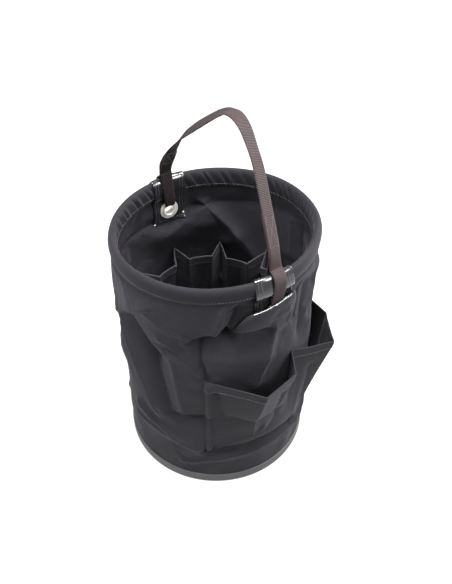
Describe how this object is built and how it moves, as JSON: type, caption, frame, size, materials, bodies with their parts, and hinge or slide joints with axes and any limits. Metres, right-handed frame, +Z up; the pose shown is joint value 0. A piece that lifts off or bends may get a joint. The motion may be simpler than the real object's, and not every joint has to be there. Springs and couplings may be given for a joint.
{
  "type": "tool bucket organizer",
  "caption": "Soft round tool bucket of coated fabric on a moulded tray, with a hooped rim, pockets inside and outside, and a fold-down webbing handle.",
  "frame": {"origin": "centre of the tray's flat underside, on the surface that the bucket stands on", "axes": "+Z up through the middle of the bucket; +X through the middle of the front eyelet, so the handle's two ends lie along X and its fold axis is parallel to X; +Y to the left when looking along +X"},
  "size_m": [0.3222, 0.2858, 0.5553],
  "materials": {
    "tray_plastic": "mid-grey moulded plastic, fine matt texture",
    "board_plastic": "dark pressed board, matt",
    "wall_fabric": "charcoal plain-weave coated fabric, soft sheen",
    "hem_fabric": "charcoal plain-weave coated fabric, gathered over a hoop",
    "pocket_fabric": "charcoal plain-weave coated fabric, hemmed edge",
    "patch_vinyl": "glossy black vinyl with edge stitching",
    "eyelet_metal": "polished nickel plate",
    "hoop_steel": "drawn spring steel wire",
    "webbing": "ribbed brown-black polyester webbing"
  },
  "bodies": {
    "bucket": {"base_tray": "tray_plastic", "floor_panel": "wall_fabric", "base_board": "board_plastic", "body_wall": "wall_fabric", "rim_hem": "hem_fabric", "rim_hoop": "hoop_steel", "rim_patch_front": "patch_vinyl", "rim_patch_back": "patch_vinyl", "eyelet_front": "eyelet_metal", "eyelet_back": "eyelet_metal", "eyelet_washer_front": "eyelet_metal", "eyelet_washer_back": "eyelet_metal", "strap_loop_front": "webbing", "strap_loop_back": "webbing", "outer_pocket_large": "pocket_fabric", "outer_pocket_small": "pocket_fabric", "inner_pocket_1": "pocket_fabric", "inner_pocket_2": "pocket_fabric", "inner_pocket_3": "pocket_fabric", "inner_pocket_4": "pocket_fabric", "inner_pocket_5": "pocket_fabric", "inner_pocket_6": "pocket_fabric", "inner_pocket_7": "pocket_fabric", "inner_pocket_8": "pocket_fabric", "inner_pocket_9": "pocket_fabric", "inner_pocket_10": "pocket_fabric", "inner_pocket_11": "pocket_fabric"},
    "handle": {"strap_arch": "webbing"}
  },
  "joints": [
    {"name": "handle_fold", "type": "hinge", "parent": "bucket", "child": "handle", "pos_m": [0, 0, 0.42], "axis": [1, 0, 0], "range_deg": [-86, 104]}
  ]
}
